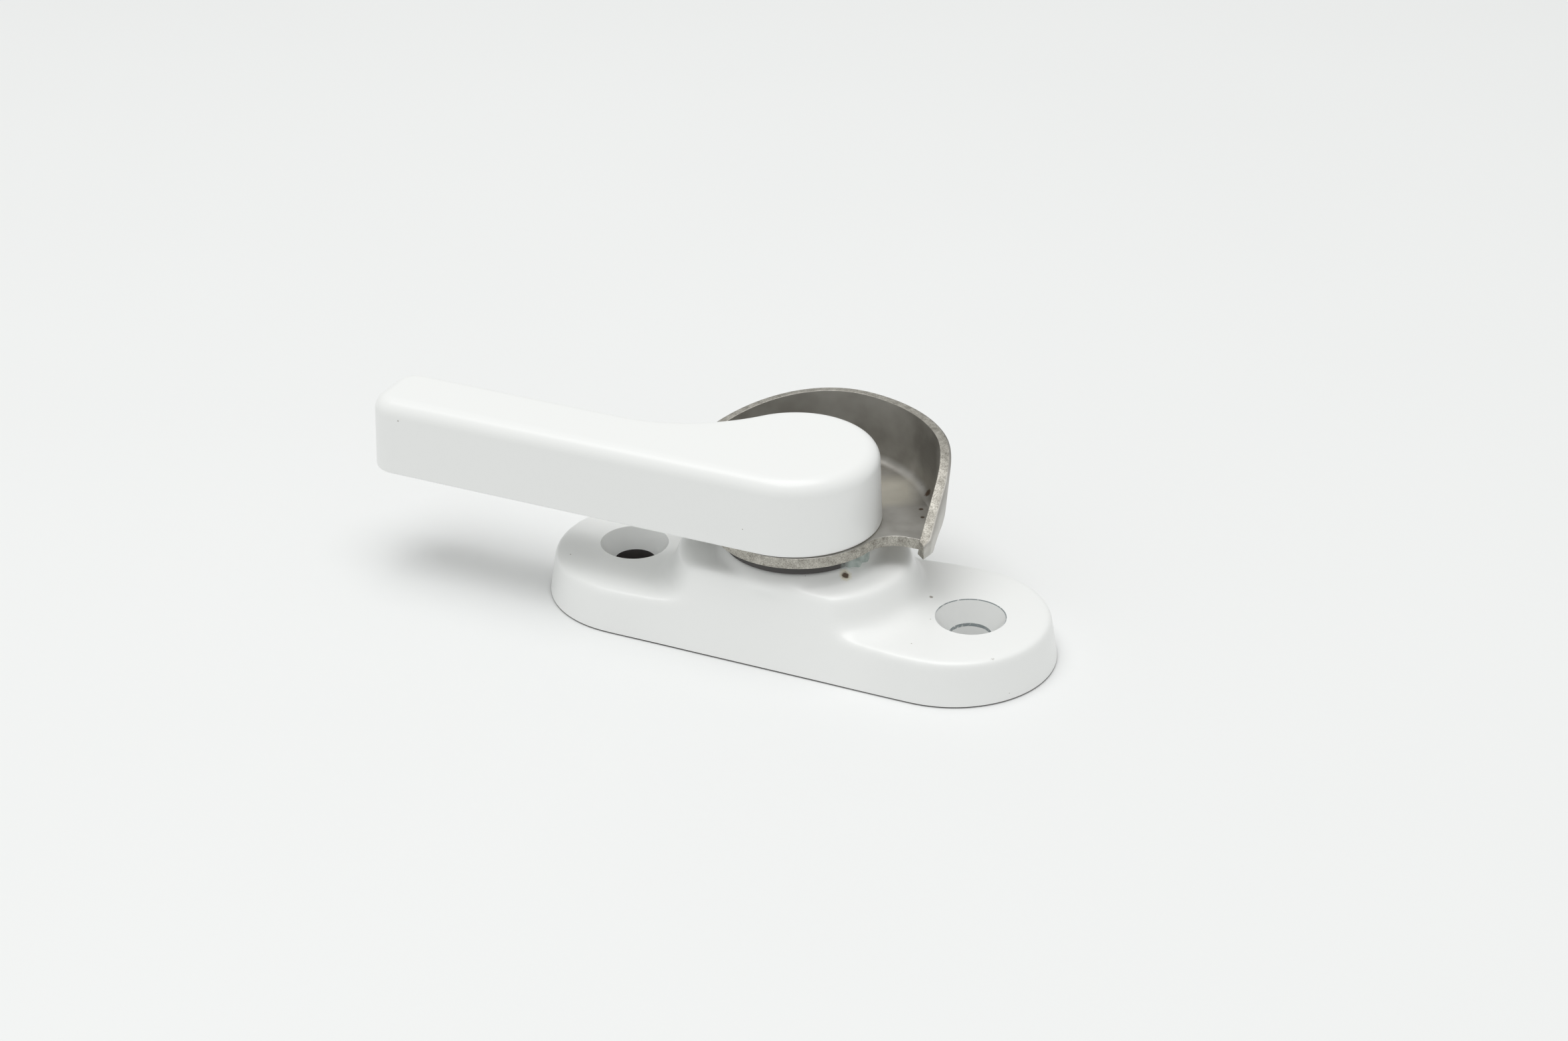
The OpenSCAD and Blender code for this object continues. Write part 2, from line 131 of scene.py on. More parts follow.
class BaseSizes(bpy.types.PropertyGroup):
    """Sizes of the cast base."""
    length: length("Length", "Length of the mounting face", (BASE_HIGH.x - BASE_LOW.x) / MM)
    width: length("Width", "Width of the mounting face", (BASE_HIGH.y - BASE_LOW.y) / MM)
    flange: length("Flange height", "Height of the flange's flat top", 5.7)
    lean: slope("Side lean", "Lean of the sides beside the raised middle, from upright", 18.4)
    end_lean: slope("End lean", "Lean of the sides round the flange's ends, from upright", 9.0)
    steep_from: length("Steep from", "Distance from the spindle where the sides start to steepen", 9.0)
    steep_run: length("Steep run", "Length over which they steepen", 10.0)
    hump: length("Hump height", "Height of the raised middle", 10.1)
    hump_length: length("Hump length", "Length of the raised middle at its foot", 32.2)
    hump_shift: length("Hump shift", "Offset of the raised middle's centre from the spindle", -0.5)
    hump_end: length("Hump end radius", "Radius in plan of the raised middle's ends", 13.2)
    hump_fillet: length("Hump fillet", "Fillet where the raised middle's ends meet the flange", 2.2)
    boss: length("Boss diameter", "Diameter of the boss under the washer", 18.4)
    boss_flare: length("Boss flare", "How far the boss spreads at its foot", 1.4)
    countersink: length("Countersink", "Diameter of a countersink at the flange's top", 8.7)
    sink_angle: slope("Countersink angle", "Included angle of a countersink", 70.0)
    roof: length("Inner roof", "Height of the roof over the inner space", 7.7)
    wall: length("Wall", "Thickness of the walls round the inner space, at the roof", 2.1)
    stop: length("Stop", "Thickness of the two stops in the inner space", 4.0)
    stop_near: length("Stop face", "Distance of the stops' faces from the spindle", 2.1)
    stop_inner: length("Stop reach", "Distance of the stops' inner ends from the long axis", 6.6)
    stop_foot: length("Stop foot", "Height of the stops' lower ends", 2.8)
    post: length("Post radius", "Radius of the post inside the detent spring's bend", 4.58)
    post_x: length("Post place", "Distance of that post from the spindle", 6.4)
    post_foot: length("Post foot", "Height of that post's lower end", 5.2)
    foot: length("Foot chamfer", "Chamfer round the mounting face", 0.16)
    grain: length("Mesh grain", "Size of the faces that the casting is smoothed on", 0.3)


class LeverSizes(bpy.types.PropertyGroup):
    """Sizes of the cast lever."""
    hub: length("Hub diameter", "Diameter of the hub", 21.5)
    hub_shift: length("Hub shift", "Offset of the hub's centre along the arm", -0.5)
    arm: length("Arm width", "Width of the arm", 10.7)
    blend: length("Blend radius", "Radius between the arm's back and the hub", 20.0)
    tip: length("Tip radius", "Radius of the arm's end corners", 3.6)
    edge: length("Top edge", "Rounding of the top edge", 2.0)
    foot_edge: length("Foot edge", "Rounding of the lower edge", 0.3)
    lean: slope("Side lean", "Lean of the sides, from upright", 2.0)
    wall: length("Wall", "Wall round the hollow under the arm", 2.0)
    skin: length("Skin", "Thickness of the arm's top over its hollow", 3.0)
    hollow: length("Hollow corner", "Radius of the hollow's upright corners", 2.0)
    square: length("Square", "Width of the square socket for the spindle", 5.64)


class HookSizes(bpy.types.PropertyGroup):
    """Sizes of the stamped hook."""
    sheet: length("Sheet", "Thickness of the sheet", 1.4)
    plate: length("Plate diameter", "Diameter of the plate's round part", 21.3)
    wall: length("Wall radius", "Inner radius of the upright wall at the plate", 17.15)
    shift_x: length("Wall shift along", "Wall centre's offset along the base", -1.2)
    shift_y: length("Wall shift across", "Wall centre's offset across the base", 1.5)
    lean: slope("Wall lean", "Outward lean of the wall", 5.0)
    tall: length("Wall height", "Greatest height of the wall above the plate", 8.3)
    low: length("End height", "Height of the wall at its ends", 1.2)
    start: slope("Leading end", "Angle of the leading end", -10.0)
    end: slope("Trailing end", "Angle of the trailing end", 174.0)
    lead_ramp: slope("Leading ramp", "Turn over which the leading end rises", 45.0)
    trail_ramp: slope("Trailing ramp", "Turn over which the trailing end rises", 90.0)
    ease: length("Ease", "How far the leading end is eased outwards", 1.0)
    ease_turn: slope("Ease turn", "Turn over which it is eased", 20.0)
    fold: length("Fold radius", "Inner radius of the fold", 1.2)
    setback: slope("Plate setback", "Turn by which the plate stops short of the wall's ends", 7.5)
    fillet: length("Plate fillet", "Fillet between the plate's round part and its edges", 4.0)
    burnish: length("Burnished edge", "Width of the rolled edge on the rim's outer side", 0.3)
    edge: length("Edge", "Rounding of the sheet's cut edges", 0.1)
    edge_angle: slope("Edge angle", "Edges sharper than this are rounded", 50.0)
    rim_room: length("Rim room", "Height under the leading end's rim that is left free for that edge", 0.45)
    foot_turn: slope("Straight foot", "Turn over which the wall runs straight down past the fold", 45.0)
    lap: length("Lap", "How far the plate runs into the wall beside that foot", 0.5)
    end_run: length("End run", "How far the wall's outer side runs on past its inner side", 1.1)
    end_lift: length("End lift", "How far the foot of that end lies above the plate's underside", 0.8)


class WasherSizes(bpy.types.PropertyGroup):
    """Sizes of the torn lip on the friction washer."""
    lip_turn: slope("Lip place", "Angle of the torn lip's middle", -14.0)
    lip_spread: slope("Lip spread", "Turn from the lip's middle to its ends", 14.0)
    lip_drop: length("Lip drop", "How far the lip hangs down", 0.55)
    lip_reach: length("Lip reach", "How far the lip reaches outwards", 1.1)
    lip_root: length("Lip root", "Width of the washer's edge that the lip hangs from", 0.6)
    running_fit: length("Running fit", "Gap round the spindle", 0.05)
    tears: IntProperty(name="Tears", description="Number of tears along the lip", default=6, min=2)


class FinishColours(bpy.types.PropertyGroup):
    """Colours of the finishes."""
    paint: tint("Paint", "Powder coat", "#F4F5F4")
    chip: tint("Chip", "Bare, stained metal where the coat is chipped", "#7C6F62")
    bare: tint("Bare zinc", "Casting where the coat is worn through", "#7F898C")
    rust: tint("Rust", "Rust spot", "#4A3218")
    steel: tint("Stainless", "Stainless sheet", "#CDCBC6")
    # Painted dark reflection: this tone darkens the hook's wall towards its top and in a patch high on it
    dark_reflection: tint("Dulled stainless", "Stainless sheet dulled by weather", "#7D7A75")
    shear: tint("Sheared edge", "Cut edge of the sheet", "#D0CDC5")
    nylon: tint("Nylon", "Plastic washer", "#C3CCC7")
    plate: tint("Plate", "Zinc plate on steel", "#C9CACB")
    spring: tint("Spring", "Oiled spring steel", "#6B6B6D")
    brass: tint("Brass", "Turned bush", "#C8A968")
    # Painted shade, partly grease: this dark tone is laid in the screw bores, on the foot chamfer and round
    # the washer's rim
    grime_and_painted_shade: tint("Grime", "Grease and dust where no cloth reaches", "#3E3B3A")
    floor: tint("Floor", "Pale floor", "#F2F3F3")


# Modelling helpers

def select_only(piece):
    """Makes a piece the one selected, active object."""
    if bpy.context.mode != "OBJECT":
        bpy.ops.object.mode_set(mode="OBJECT")
    bpy.ops.object.select_all(action="DESELECT")
    piece.select_set(True)
    bpy.context.view_layer.objects.active = piece


def evenly(start, end, steps):
    """Evenly spaced values, both ends included."""
    return [start + (end - start) * i / steps for i in range(steps + 1)]


def polar(radius, angle):
    """Point at a distance and an angle."""
    return radius * math.cos(angle), radius * math.sin(angle)


def arc(centre, radius, start, end, steps):
    """Points of an arc, both ends included."""
    spokes = [polar(radius, a) for a in evenly(start, end, steps)]
    return [(centre[0] + x, centre[1] + y) for x, y in spokes]


def circle(centre, radius, steps=TURN_STEPS):
    """Points of a full circle."""
    return arc(centre, radius, 0, 2 * math.pi, steps)[:-1]


def bowed(centre_x, radius, half_width, steps, straight_steps=1):
    """Outline with two straight sides and two round ends about centres on the long axis."""
    spread = math.asin(min(1.0, half_width / radius))
    outline = []
    for side in (0, math.pi):
        ends = arc((math.cos(side) * centre_x, 0), radius, side - spread, side + spread, steps)
        x, y = ends[-1]
        outline += ends + [(x - 2 * x * i / straight_steps, y) for i in range(1, straight_steps)]
    return outline


def flat_piece(name, outline, height):
    """Level face through an outline: a filled circle whose corners are set on the outline's points."""
    bpy.ops.mesh.primitive_circle_add(vertices=len(outline), radius=MM, fill_type="NGON")
    piece = bpy.context.object
    piece.name = name
    piece.data.name = name
    for corner, (x, y) in zip(piece.data.vertices, outline):
        corner.co = (x, y, height)
    return piece


def raise_through(profile):
    """Draws the selected face on through pairs of inset and height, by insets and extrusions."""
    for (inset, height), (next_inset, next_height) in zip(profile, profile[1:]):
        if next_inset - inset < TINY:
            move = {"value": (0, 0, next_height - height)}
            bpy.ops.mesh.extrude_region_move(TRANSFORM_OT_translate=move)
        else:
            bpy.ops.mesh.inset(thickness=next_inset - inset, depth=next_height - height)


def edit_chosen(piece, kind, chosen):
    """Opens a piece for editing with only the chosen ones of its faces or edges selected."""
    select_only(piece)
    bpy.ops.object.mode_set(mode="EDIT")
    bpy.ops.mesh.select_mode(type=kind)
    bpy.ops.mesh.select_all(action="DESELECT")
    bpy.ops.object.mode_set(mode="OBJECT")
    for item in piece.data.polygons if kind == "FACE" else piece.data.edges:
        item.select = chosen(item)
    bpy.ops.object.mode_set(mode="EDIT")


def points_down(face):
    """Whether a face points down."""
    return face.normal.z < DOWN


def close_up():
    """Fills every open edge of the piece in edit mode and turns its faces outwards."""
    bpy.ops.mesh.select_mode(type="EDGE")
    bpy.ops.mesh.select_all(action="DESELECT")
    bpy.ops.mesh.select_non_manifold()
    bpy.ops.mesh.edge_face_add()
    bpy.ops.mesh.select_all(action="SELECT")
    bpy.ops.mesh.normals_make_consistent(inside=False)


def loft(name, outline, profile):
    """Closed piece that starts on an outline and rises through pairs of inset and height."""
    piece = flat_piece(name, outline, profile[0][1])
    select_only(piece)
    bpy.ops.object.mode_set(mode="EDIT")
    bpy.ops.mesh.select_mode(type="FACE")
    bpy.ops.mesh.select_all(action="SELECT")
    raise_through(profile)
    close_up()
    bpy.ops.object.mode_set(mode="OBJECT")
    return piece


def rounded_side(top, radius, lean, steps):
    """Inset and height along a leaning side that ends in a rounded top edge."""
    centre = (top - radius + radius * math.sin(lean)) * math.tan(lean) + radius * math.cos(lean)
    return [(centre - radius * math.cos(a), top - radius + radius * math.sin(a))
            for a in evenly(lean, QUARTER, steps)]


def apply_modifier(piece, kind, **settings):
    """Adds a modifier, sets it and applies it."""
    select_only(piece)
    modifier = piece.modifiers.new(kind.title(), kind)
    for name, value in settings.items():
        setattr(modifier, name, value)
    bpy.ops.object.modifier_apply(modifier=modifier.name)


def combine(piece, other, operation):
    """Cuts, joins or trims one closed piece with another, which is then gone."""
    apply_modifier(piece, "BOOLEAN", operation=operation, object=other, solver="MANIFOLD")
    bpy.data.objects.remove(other)


def join(piece, *others):
    """Joins the others' meshes to a piece."""
    select_only(piece)
    for other in others:
        other.select_set(True)
    bpy.ops.object.join()


def smooth(piece, degrees):
    """Shades a piece smooth, with edges sharper than the angle kept crisp."""
    select_only(piece)
    bpy.ops.object.shade_smooth_by_angle(angle=math.radians(degrees))


def dress(piece, body, node, slot, *materials):
    """Ties a piece to the frame in place of a node, with these materials or the ones it has."""
    if materials:
        piece.data.materials.clear()
    for material in materials:
        piece.data.materials.append(material)
    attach(piece, body)
    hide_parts(node)


# Materials

# A stain's solid core and faded edge, in radii. Its noise adds half a radius on average
STAIN_CORE = 1.2
STAIN_EDGE = 1.7


def add(material, kind, inputs=None, **settings):
    """Adds a node, sets its properties, and sets its inputs or links them to a socket or another node."""
    tree = material.node_tree
    node = tree.nodes.new("ShaderNode" + kind)
    for name, value in settings.items():
        setattr(node, name, value)
    for name, value in (inputs or {}).items():
        if isinstance(value, bpy.types.Node):
            value = next(socket for socket in value.outputs if socket.enabled)
        if isinstance(value, bpy.types.NodeSocket):
            tree.links.new(value, node.inputs[name])
        else:
            node.inputs[name].default_value = value
    return node


def new_material(name):
    """Empty node material, and the node that gives the place of its pattern in millimetres."""
    material = bpy.data.materials.new(name)
    material.use_nodes = True
    material.node_tree.nodes.clear()
    metres = add(material, "TexCoord").outputs["Object"]
    return material, add(material, "Mapping", {"Vector": metres, "Scale": (1 / MM, 1 / MM, 1 / MM)})


def stain(material, place, tone, grit, centre, radius, shade, strength):
    """Lays a ragged round stain over a tone. Its centre and radius are millimetres."""
    away = add(material, "VectorMath", {0: place, 1: centre}, operation="DISTANCE")
    ragged = add(material, "Math", {0: grit, 1: radius, 2: away}, operation="MULTIPLY_ADD")
    inside = add(material, "MapRange", {"Value": ragged, "From Min": STAIN_EDGE * radius,
                                        "From Max": STAIN_CORE * radius, "To Max": strength})
    return add(material, "Mix", {0: inside, 6: tone, 7: shade}, data_type="RGBA")


def powder_coat(name, colours):
    """Gloss white powder coat on a zinc casting: sprayed and baked, so it flows into a soft orange
    peel, rounds every edge, holds a few dust specks, and chips to stained metal."""
    material, place = new_material(name)
    peel_mm = 1.1
    peel_depth_mm = 0.05
    speck_cell_mm = 2.4
    # Share of the cells with no speck, and the largest speck's radius and its soft edge in cells
    bare_cells = 0.35
    largest = 0.045
    soft_edge = 0.006
    peel = add(material, "TexNoise", {"Vector": place, "Scale": 1 / peel_mm, "Detail": 1.0})
    bump = add(material, "Bump", {"Height": peel, "Strength": 0.1, "Distance": peel_depth_mm * MM})
    cells = add(material, "TexVoronoi", {"Vector": place, "Scale": 1 / speck_cell_mm})
    kind = add(material, "SeparateColor", {"Color": cells.outputs["Color"]})
    size = add(material, "MapRange", {"Value": kind.outputs["Red"], "From Min": bare_cells,
                                      "To Max": largest})
    speck = add(material, "Math", {0: size, 1: cells.outputs["Distance"]}, operation="SUBTRACT")
    mask = add(material, "MapRange", {"Value": speck, "From Max": soft_edge, "To Max": 0.75})
    tone = add(material, "Mix", {0: mask, 6: colours.paint, 7: colours.chip}, data_type="RGBA")
    return material, place, tone, bump


def coated(material, tone, bump):
    """Ends a powder coat: a smooth binder over white pigment."""
    shader = add(material, "BsdfPrincipled",
                 {"Base Color": tone, "Normal": bump, "Roughness": 0.3, "IOR": 1.5})
    add(material, "OutputMaterial", {"Surface": shader})
    return material


def base_paint(sizes, colours):
    """Coat of the base, with the chips that screws and handling left on it, the worn edges of the right
    screw hole, painted shade in the screw bores and a painted contact shadow on the chamfer round the foot."""
    material, place, tone, bump = powder_coat("white_powder_coat_base", colours)
    grit_mm = 1 / 3
    rim_line_mm = 0.06
    throat_line_mm = 0.05
    skin_mm = 0.02
    grit = add(material, "TexNoise", {"Vector": place, "Scale": 1 / grit_mm, "Detail": 3.0})
    rust_spot = (8.36, -4.82, 10.54)
    edge_chip = (28.92, -8.01, 5.2)
    fleck = (16.81, 2.38, 5.7)
    # Centre, radius, shade and strength
    spots = ((rust_spot, 0.8, colour("#D9CDA6"), 0.5), (rust_spot, 0.45, colours.rust, 0.95),
             (edge_chip, 0.38, colours.chip, 0.95), (fleck, 0.26, colours.chip, 0.8))
    for spot in spots:
        tone = stain(material, place, tone, grit, *spot)

    # Distance from the axis of the nearer screw hole
    x, y, z = add(material, "SeparateXYZ", {"Vector": place}).outputs
    mirrored = add(material, "Math", {0: x}, operation="ABSOLUTE")
    along = add(material, "Math", {0: mirrored, 1: SCREWS["spacing_x_mm"] / 2}, operation="SUBTRACT")
    flat = add(material, "CombineXYZ", {"X": along, "Y": y})
    away = add(material, "VectorMath", {0: flat}, operation="LENGTH")

    # Bare metal in broken lines on the far edges of the right hole
    hole = SCREWS["hole_r_mm"]
    rim = add(material, "Math", {0: away, 1: sizes.countersink / 2 / MM, 2: rim_line_mm},
              operation="COMPARE")
    throat = add(material, "Math", {0: away, 1: hole, 2: throat_line_mm}, operation="COMPARE")
    worn = add(material, "Math", {0: rim, 1: throat}, operation="MAXIMUM")
    broken = add(material, "MapRange", {"Value": grit, "From Min": 0.25, "From Max": 0.45, "To Max": 0.9})
    far = add(material, "MapRange", {"Value": y, "From Min": -1.5, "From Max": 0.5})
    right = add(material, "Math", {0: x, 1: 0.0}, operation="GREATER_THAN")
    upper = add(material, "Math", {0: z, 1: sizes.flange / MM / 2}, operation="GREATER_THAN")
    for share in (broken, far, right, upper):
        worn = add(material, "Math", {0: worn, 1: share}, operation="MULTIPLY")
    tone = add(material, "Mix", {0: worn, 6: tone, 7: colours.bare}, data_type="RGBA")

    # Painted shade in the bores, full in the left one and a share in the right one, and a painted contact
    # shadow on the chamfer round the foot
    # Painted shade: the bores' walls are laid in the dark tone
    bore = add(material, "Math", {0: away, 1: hole + skin_mm}, operation="LESS_THAN")
    left = add(material, "Math", {0: x, 1: 0.0}, operation="LESS_THAN")
    hand = add(material, "Math", {0: left, 1: 1 - RIGHT_BORE_SHADE, 2: RIGHT_BORE_SHADE},
               operation="MULTIPLY_ADD")
    bore_shade = add(material, "Math", {0: bore, 1: hand}, operation="MULTIPLY")
    foot = sizes.foot / MM / 2
    # Painted contact shadow: the chamfer round the foot is laid in the dark tone
    chamfer = add(material, "Math", {0: z, 1: foot + skin_mm, 2: foot}, operation="COMPARE")
    painted_shade_mask = add(material, "Math", {0: bore_shade, 1: chamfer}, operation="MAXIMUM")
    shaded_tone = add(material, "Mix", {0: painted_shade_mask, 6: tone, 7: colours.grime_and_painted_shade}, data_type="RGBA")
    return coated(material, shaded_tone, bump)


def lever_paint(colours):
    """Coat of the lever."""
    material, _, tone, bump = powder_coat("white_powder_coat_lever", colours)
    return coated(material, tone, bump)


def bare_metal(material, tone, roughness, bump):
    """Ends a metal that has no coat."""
    shader = add(material, "BsdfPrincipled",
                 {"Base Color": tone, "Metallic": 1.0, "Roughness": roughness, "Normal": bump})
    add(material, "OutputMaterial", {"Surface": shader})
    return material


def satin_stainless(sizes, colours):
    """Cold-rolled stainless sheet with a satin mill finish: fine streaks along the wall, cloudy handling
    stains, a painted highlight on the plate beside the hub, painted dark reflection towards the wall's top
    and high on it, and brown specks where dirt has gathered in the fold."""
    material, place = new_material("satin_stainless_sheet")
    cloud_mm = 5.0
    streak_mm = 0.25
    streak_depth_mm = 0.01
    grit_mm = 0.33
    # Heights between which painted dark reflection darkens the wall towards its top
    bright_mm = 15.0
    darkened_mm = 18.0
    centre = (sizes.shift_x / MM, sizes.shift_y / MM, 0)
    shifted = add(material, "VectorMath", {0: place, 1: centre}, operation="SUBTRACT")
    x, y, z = add(material, "SeparateXYZ", {"Vector": shifted}).outputs
    turn = add(material, "Math", {0: y, 1: x}, operation="ARCTAN2")
    grain = add(material, "CombineXYZ", {"X": turn, "Z": z})
    streak = add(material, "TexNoise", {"Vector": grain, "Scale": 1 / streak_mm, "Detail": 3.0})
    cloud = add(material, "TexNoise", {"Vector": place, "Scale": 1 / cloud_mm, "Detail": 3.0})
    grit = add(material, "TexNoise", {"Vector": place, "Scale": 1 / grit_mm, "Detail": 3.0})
    level = add(material, "MapRange", {"Value": cloud, "From Min": 0.3, "From Max": 0.7})
    clouded = add(material, "Mix", {0: level, 6: colour("#A4A19B"), 7: colours.steel}, data_type="RGBA")
    # Painted dark reflection: the wall darkens towards its top
    wall = add(material, "MapRange", {"Value": z, "From Min": bright_mm, "From Max": darkened_mm,
                                      "To Max": 0.35})
    tone = add(material, "Mix", {0: wall, 6: clouded, 7: colours.dark_reflection}, data_type="RGBA")
    # Painted light: a painted highlight on the plate beside the hub and a painted dark reflection high on
    # the wall. Centre, radius, shade and strength
    painted_light_patches = (((7.2, 10.7, 14.4), 4.0, colour("#F0EBDC"), 0.6),
               ((12.6, 13.6, 18.0), 4.5, colours.dark_reflection, 0.6))
    # Centre and radius
    specks = (((12.42, 11.74, 14.8), 0.55), ((12.94, 8.12, 14.4), 0.32), ((13.9, 6.26, 14.4), 0.26),
              ((10.9, 13.6, 14.6), 0.25))
    speck_strength = 0.85
    for patch in painted_light_patches:
        tone = stain(material, place, tone, cloud, *patch)
    for speck in specks:
        tone = stain(material, place, tone, grit, *speck, colours.rust, speck_strength)
    rough = add(material, "MapRange", {"Value": streak, "To Min": 0.34, "To Max": 0.52})
    bump = add(material, "Bump", {"Height": streak, "Strength": 0.05, "Distance": streak_depth_mm * MM})
    return bare_metal(material, tone, rough, bump)


def sheared_edge(colours):
    """Sheared edge of stainless sheet: torn across its thickness, so it is rough and mottled, with dark
    pits between dull crests. The tear is drawn coarser than it is, so that it shows."""
    material, place = new_material("sheared_stainless_edge")
    tear_mm = 0.16
    tear_depth_mm = 0.05
    patch_mm = 0.9
    patch_share = 0.8
    tear = add(material, "TexNoise", {"Vector": place, "Scale": 1 / tear_mm, "Detail": 3.0,
                                      "Roughness": 0.65})
    patch = add(material, "TexNoise", {"Vector": place, "Scale": 1 / patch_mm, "Detail": 4.0})
    mottle = add(material, "Math", {0: patch, 1: patch_share, 2: tear}, operation="MULTIPLY_ADD")
    pit = add(material, "MapRange", {"Value": mottle, "From Min": 0.6, "From Max": 1.15})
    tone = add(material, "Mix", {0: pit, 6: colour("#86827A"), 7: colours.shear}, data_type="RGBA")
    rough = add(material, "MapRange", {"Value": tear, "To Min": 0.75, "To Max": 0.45})
    bump = add(material, "Bump", {"Height": tear, "Strength": 0.5, "Distance": tear_depth_mm * MM})
    return bare_metal(material, tone, rough, bump)


def natural_nylon(sizes, colours):
    """Natural nylon washer: moulded, milky and slightly see-through, with a matt, scuffed skin. Its rim is
    painted black, as painted shade under the plate and as old grease, except on the torn lip, which keeps
    the nylon's own colour."""
    material, place = new_material("natural_nylon")
    scuff_mm = 0.8
    scuff_depth_mm = 0.05
    pale_lip_mm = 2.6
    scuff = add(material, "TexNoise", {"Vector": place, "Scale": 1 / scuff_mm, "Detail": 4.0})
    milky = add(material, "MapRange", {"Value": scuff, "From Min": 0.3, "From Max": 0.7})
    tone = add(material, "Mix", {0: milky, 6: colour("#98A5A1"), 7: colours.nylon}, data_type="RGBA")
    bump = add(material, "Bump", {"Height": scuff, "Strength": 0.3, "Distance": scuff_depth_mm * MM})
    rim = WASHER_HIGH.x / MM
    middle = (*polar(rim, sizes.lip_turn), WASHER_LOW.z / MM)
    # Painted shade, partly old grease: the washer is laid in the dark tone, all but round the torn lip
    shade_and_grease_tone = stain(material, place, colours.grime_and_painted_shade, scuff, middle, pale_lip_mm, tone, 1.0)
    shader = add(material, "BsdfPrincipled",
                 {"Base Color": shade_and_grease_tone, "Roughness": 0.5, "IOR": 1.53, "Normal": bump,
                  "Subsurface Weight": 0.3, "Subsurface Radius": (MM, MM, MM)})
    add(material, "OutputMaterial", {"Surface": shader})
    return material


def turned_metal(name, shade, dark, roughness, ring_mm):
    """Turned or pressed metal of the inner pieces: tool rings about the spindle and a little dirt."""
    material, place = new_material(name)
    ring_depth_mm = 0.01
    grime_mm = 5 / 3
    rings = add(material, "TexWave", {"Vector": place, "Scale": 1 / ring_mm, "Distortion": 0.6,
                                      "Detail": 2.0}, wave_type="RINGS", rings_direction="Z")
    grime_and_painted_shade = add(material, "TexNoise", {"Vector": place, "Scale": 1 / grime_mm, "Detail": 4.0})
    level = add(material, "MapRange", {"Value": grime_and_painted_shade, "From Min": 0.3, "From Max": 0.6})
    tone = add(material, "Mix", {0: level, 6: dark, 7: shade}, data_type="RGBA")
    bump = add(material, "Bump", {"Height": rings.outputs["Fac"], "Strength": 0.15,
                                  "Distance": ring_depth_mm * MM})
    return bare_metal(material, tone, roughness, bump)


def table_laminate(colours):
    """Matt white table sheet: even, with a trace of cloudiness."""
    material, place = new_material("matt_white_sheet")
    cloud_mm = 100.0
    cloud = add(material, "TexNoise", {"Vector": place, "Scale": 1 / cloud_mm, "Detail": 2.0})
    tone = add(material, "Mix", {0: cloud, 6: colours.floor, 7: colour("#EFF0F0")}, data_type="RGBA")
    shader = add(material, "BsdfPrincipled", {"Base Color": tone, "Roughness": 0.6})
    add(material, "OutputMaterial", {"Surface": shader})
    return material


# Pieces

def raised_middle(sizes, sides):
    """Raised middle of the base: its ends rise from a fillet, and its long sides are the flange's sides."""
    radius = sizes.hump_fillet
    sweep = QUARTER - sizes.lean
    reach = radius * math.tan(sweep / 2)
    fillet = [(radius * math.sin(a), sizes.flange + radius * (1 - math.cos(a)))
              for a in evenly(0, sweep, FILLET_STEPS)]
    top = (reach + (sizes.hump - sizes.flange) * math.tan(sizes.lean), sizes.hump)
    end_x = sizes.hump_length / 2 - sizes.hump_end
    plan = bowed(end_x, sizes.hump_end + reach, sizes.width / 2, HUMP_STEPS)
    outline = [(x + sizes.hump_shift, y) for x, y in plan]
    hump = loft("hump", outline, [(0, sizes.flange - MM), *fillet, top])
    combine(hump, sides, "INTERSECT")
    return hump


def steepen_ends(flange, sizes, straight):
    """Steepens the flange's sides towards its ends, about their foot."""
    gain = math.tan(sizes.lean) - math.tan(sizes.end_lean)
    for corner in flange.data.vertices:
        x, y, z = corner.co
        along = min(1, max(0, (abs(x) - sizes.steep_from) / sizes.steep_run))
        out = Vector((math.copysign(max(0, abs(x) - straight), x), y, 0)).normalized()
        corner.co += out * gain * z * along * along * (3 - 2 * along)


def cast_block(sizes):
    """Flange, raised middle and boss of the base, melted into one smooth casting."""
    tan = math.tan(sizes.lean)
    half_width = sizes.width / 2
    straight = sizes.length / 2 - half_width
    below = 3 * MM
    lap = 2 * MM
    above = BASE_HIGH.z + lap
    plan = bowed(straight, half_width + below * tan, half_width + below * tan, END_STEPS, SIDE_STEPS)
    flange = loft("flange", plan, [(0, -below), ((below + sizes.flange) * tan, sizes.flange)])
    steepen_ends(flange, sizes, straight)
    sides = loft("sides", plan, [(0, -below), ((below + above) * tan, above)])
    hump = raised_middle(sizes, sides)
    rise = BASE_HIGH.z - sizes.hump
    flare = [(sizes.boss_flare * math.sin(a), sizes.hump + rise * (1 - math.cos(a)))
             for a in evenly(0, QUARTER, FILLET_STEPS)]
    boss = loft("boss", circle((0, 0), sizes.boss / 2 + sizes.boss_flare), [(0, sizes.hump - MM), *flare])
    join(flange, hump, boss)
    apply_modifier(flange, "REMESH", mode="VOXEL", voxel_size=sizes.grain)
    apply_modifier(flange, "SMOOTH", factor=0.5, iterations=MELT_PASSES)
    room = loft("room", bowed(straight, half_width + lap, half_width + lap, END_STEPS),
                [(0, above), (0, sizes.foot), (lap, sizes.foot), (lap + sizes.foot, 0)])
    combine(flange, room, "INTERSECT")
    return flange


def screw_hole_cutter(sizes, x):
    """Cutter for a screw hole and its countersink, drawn from the top down."""
    over = MM
    wide = sizes.countersink / 2
    narrow = SCREWS["hole_r_mm"] * MM
    depth = (wide - narrow) / math.tan(sizes.sink_angle / 2)
    return loft("screw_hole", circle((x, 0), wide),
                [(0, sizes.flange + over), (0, sizes.flange),
                 (wide - narrow, sizes.flange - depth), (wide - narrow, -over)])


